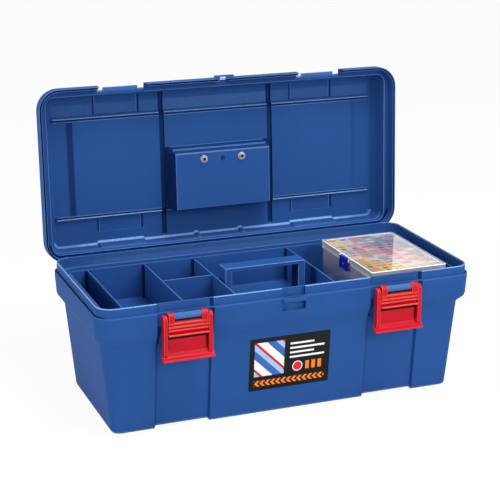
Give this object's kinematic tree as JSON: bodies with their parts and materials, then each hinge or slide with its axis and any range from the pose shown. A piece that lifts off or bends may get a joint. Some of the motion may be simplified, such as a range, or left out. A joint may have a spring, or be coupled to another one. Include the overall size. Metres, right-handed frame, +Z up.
{
  "type": "plastic tool box",
  "caption": "Long plastic tool box with a hinged lid, folding top handle, swing latches, lift-out divided tray and a clear parts case.",
  "frame": {"origin": "on the floor under the middle of the tub, on the underside of the middle foot pad", "axes": "+X along the box's length to the viewer's right, +Y to the rear where the lid is hinged, +Z up"},
  "size_m": [0.524, 0.3091, 0.4029],
  "materials": {
    "shell_blue": "satin moulded polypropylene with a fine grain",
    "tray_blue": "satin moulded polypropylene",
    "latch_red": "semi-gloss moulded plastic",
    "pin_steel": "drawn wire",
    "screw_steel": "zinc plated",
    "case_clear": "clear polystyrene",
    "clip_blue": "gloss moulded plastic",
    "label_print": "printed and laminated",
    "card_print": "printed card"
  },
  "bodies": {
    "tub": {"tub": "shell_blue", "front_label": "label_print", "hinge_pin_left": "pin_steel", "hinge_pin_right": "pin_steel", "latch_pin_left": "pin_steel", "latch_pin_right": "pin_steel"},
    "lid": {"lid": "shell_blue", "handle_bracket": "shell_blue", "handle_axle": "pin_steel", "handle_screws": "screw_steel", "handle_washers": "screw_steel"},
    "handle": {"carry_handle": "shell_blue"},
    "latch_left": {"latch_left": "latch_red"},
    "latch_right": {"latch_right": "latch_red"},
    "tray": {"tray": "tray_blue"},
    "divider_end": {"tray_divider_end": "tray_blue"},
    "divider_left": {"tray_divider_left": "tray_blue"},
    "divider_middle": {"tray_divider_middle": "tray_blue"},
    "divider_right": {"tray_divider_right": "tray_blue"},
    "divider_cross": {"tray_cross_divider": "tray_blue"},
    "case": {"case_base": "case_clear", "case_hinge_pins": "pin_steel"},
    "case_lid": {"case_lid": "case_clear", "insert_card": "card_print"},
    "case_clip": {"case_clip": "clip_blue"}
  },
  "joints": [
    {"name": "lid_hinge", "type": "hinge", "parent": "tub", "child": "lid", "pos_m": [0, 0.1205, 0.1603], "axis": [-1, 0, 0], "range_deg": [-93, 0]},
    {"name": "handle_pivot", "type": "hinge", "parent": "lid", "child": "handle", "pos_m": [0, 0.15625, 0.2846], "axis": [-1, 0, 0], "range_deg": [-90, 0]},
    {"name": "latch_left_pivot", "type": "hinge", "parent": "tub", "child": "latch_left", "pos_m": [-0.145, -0.121, 0.158], "axis": [1, 0, 0], "range_deg": [-180, 0]},
    {"name": "latch_right_pivot", "type": "hinge", "parent": "tub", "child": "latch_right", "pos_m": [0.145, -0.121, 0.158], "axis": [1, 0, 0], "range_deg": [-180, 0]},
    {"name": "tray_lift", "type": "slide", "parent": "tub", "child": "tray", "axis": [0, 0, 1], "range_m": [0, 0.12]},
    {"name": "divider_end_lift", "type": "slide", "parent": "tray", "child": "divider_end", "axis": [0, 0, 1], "range_m": [0, 0.06]},
    {"name": "divider_left_lift", "type": "slide", "parent": "tray", "child": "divider_left", "axis": [0, 0, 1], "range_m": [0, 0.06]},
    {"name": "divider_middle_lift", "type": "slide", "parent": "tray", "child": "divider_middle", "axis": [0, 0, 1], "range_m": [0, 0.06]},
    {"name": "divider_right_lift", "type": "slide", "parent": "tray", "child": "divider_right", "axis": [0, 0, 1], "range_m": [0, 0.06]},
    {"name": "divider_cross_lift", "type": "slide", "parent": "tray", "child": "divider_cross", "axis": [0, 0, 1], "range_m": [0, 0.06]},
    {"name": "case_lift", "type": "slide", "parent": "tray", "child": "case", "axis": [0, 0, 1], "range_m": [0, 0.07]},
    {"name": "case_lid_hinge", "type": "hinge", "parent": "case", "child": "case_lid", "pos_m": [0.2305, 0, 0.1656], "axis": [0, 1, 0], "range_deg": [0, 100]},
    {"name": "case_clip_pivot", "type": "hinge", "parent": "case_lid", "child": "case_clip", "pos_m": [0.1162, -0.017, 0.171], "axis": [0, 1, 0], "range_deg": [0, 80]}
  ]
}
